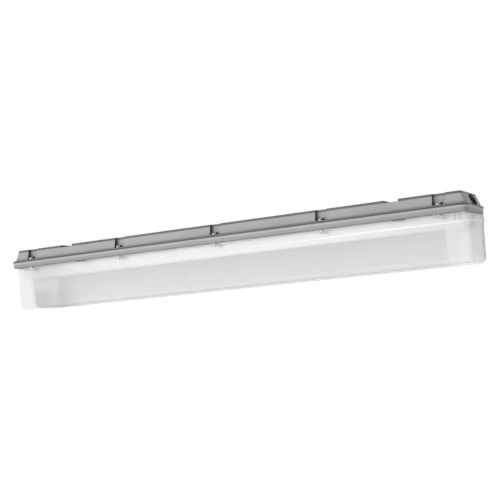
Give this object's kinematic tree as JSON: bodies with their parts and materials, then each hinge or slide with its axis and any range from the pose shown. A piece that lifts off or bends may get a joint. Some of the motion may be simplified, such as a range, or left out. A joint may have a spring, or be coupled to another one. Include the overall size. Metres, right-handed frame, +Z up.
{
  "type": "vapor tight light fixture",
  "caption": "Long sealed ceiling light with a moulded grey housing, quarter turn latches along both sides, a deep clear lens and a white gear tray with LED boards inside",
  "frame": {"origin": "centre of the housing's flat top face, which lies against the ceiling", "axes": "+X along the fixture, +Y across it to the rear, +Z up into the ceiling"},
  "size_m": [1.298, 0.153, 0.1625],
  "materials": {
    "housing": "fine moulded grain",
    "gasket": "foam",
    "lens": "clear acrylic, frosted and ribbed along the middle",
    "tray": "white gloss",
    "zinc": "zinc plated",
    "steel": "plated screw",
    "stainless": "stainless",
    "cam": "glass filled nylon",
    "toggle": "translucent",
    "board": "white solder mask",
    "driver_case": "painted",
    "terminal": "moulded",
    "plug": "moulded"
  },
  "bodies": {
    "fixture": {"housing_shell": "housing", "gasket": "gasket", "gear_tray": "tray", "led_driver": "driver_case", "driver_screw_1": "steel", "driver_screw_2": "steel", "terminal_block": "terminal", "ground_screw": "steel", "conduit_plug": "plug", "plug_washer": "gasket", "tray_hanger_left": "zinc", "hanger_screw_left_front": "steel", "hanger_screw_left_rear": "steel", "tray_hanger_right": "zinc", "hanger_screw_right_front": "steel", "hanger_screw_right_rear": "steel", "led_board_front_1": "board", "led_board_front_2": "board", "led_board_rear_1": "board", "led_board_rear_2": "board"},
    "lens_body": {"lens": "lens"},
    "latch_front_1": {"latch_screw_front_1": "stainless", "latch_cam_front_1": "cam"},
    "latch_front_2": {"latch_screw_front_2": "stainless", "latch_cam_front_2": "cam"},
    "latch_front_3": {"latch_screw_front_3": "stainless", "latch_cam_front_3": "cam"},
    "latch_front_4": {"latch_screw_front_4": "stainless", "latch_cam_front_4": "cam"},
    "latch_front_5": {"latch_screw_front_5": "stainless", "latch_cam_front_5": "cam"},
    "latch_rear_1": {"latch_screw_rear_1": "stainless", "latch_cam_rear_1": "cam"},
    "latch_rear_2": {"latch_screw_rear_2": "stainless", "latch_cam_rear_2": "cam"},
    "latch_rear_3": {"latch_screw_rear_3": "stainless", "latch_cam_rear_3": "cam"},
    "latch_rear_4": {"latch_screw_rear_4": "stainless", "latch_cam_rear_4": "cam"},
    "latch_rear_5": {"latch_screw_rear_5": "stainless", "latch_cam_rear_5": "cam"},
    "toggle_left": {"tray_toggle_left": "toggle"},
    "toggle_right": {"tray_toggle_right": "toggle"}
  },
  "joints": [
    {"name": "lens_drop", "type": "slide", "parent": "fixture", "child": "lens_body", "axis": [0, 0, -1], "range_m": [0, 0.15]},
    {"name": "latch_front_1_turn", "type": "hinge", "parent": "fixture", "child": "latch_front_1", "pos_m": [-0.578, -0.069, -0.0285], "axis": [0, 0, 1], "range_deg": [0, 90]},
    {"name": "latch_front_2_turn", "type": "hinge", "parent": "fixture", "child": "latch_front_2", "pos_m": [-0.289, -0.069, -0.0285], "axis": [0, 0, 1], "range_deg": [0, 90]},
    {"name": "latch_front_3_turn", "type": "hinge", "parent": "fixture", "child": "latch_front_3", "pos_m": [0, -0.069, -0.0285], "axis": [0, 0, 1], "range_deg": [0, 90]},
    {"name": "latch_front_4_turn", "type": "hinge", "parent": "fixture", "child": "latch_front_4", "pos_m": [0.289, -0.069, -0.0285], "axis": [0, 0, 1], "range_deg": [0, 90]},
    {"name": "latch_front_5_turn", "type": "hinge", "parent": "fixture", "child": "latch_front_5", "pos_m": [0.578, -0.069, -0.0285], "axis": [0, 0, 1], "range_deg": [0, 90]},
    {"name": "latch_rear_1_turn", "type": "hinge", "parent": "fixture", "child": "latch_rear_1", "pos_m": [-0.578, 0.069, -0.0285], "axis": [0, 0, -1], "range_deg": [0, 90]},
    {"name": "latch_rear_2_turn", "type": "hinge", "parent": "fixture", "child": "latch_rear_2", "pos_m": [-0.289, 0.069, -0.0285], "axis": [0, 0, -1], "range_deg": [0, 90]},
    {"name": "latch_rear_3_turn", "type": "hinge", "parent": "fixture", "child": "latch_rear_3", "pos_m": [0, 0.069, -0.0285], "axis": [0, 0, -1], "range_deg": [0, 90]},
    {"name": "latch_rear_4_turn", "type": "hinge", "parent": "fixture", "child": "latch_rear_4", "pos_m": [0.289, 0.069, -0.0285], "axis": [0, 0, -1], "range_deg": [0, 90]},
    {"name": "latch_rear_5_turn", "type": "hinge", "parent": "fixture", "child": "latch_rear_5", "pos_m": [0.578, 0.069, -0.0285], "axis": [0, 0, -1], "range_deg": [0, 90]},
    {"name": "toggle_left_turn", "type": "hinge", "parent": "fixture", "child": "toggle_left", "pos_m": [-0.618, 0, -0.0815], "axis": [0, 0, 1], "range_deg": [0, 90]},
    {"name": "toggle_right_turn", "type": "hinge", "parent": "fixture", "child": "toggle_right", "pos_m": [0.618, 0, -0.0815], "axis": [0, 0, 1], "range_deg": [0, 90]}
  ]
}
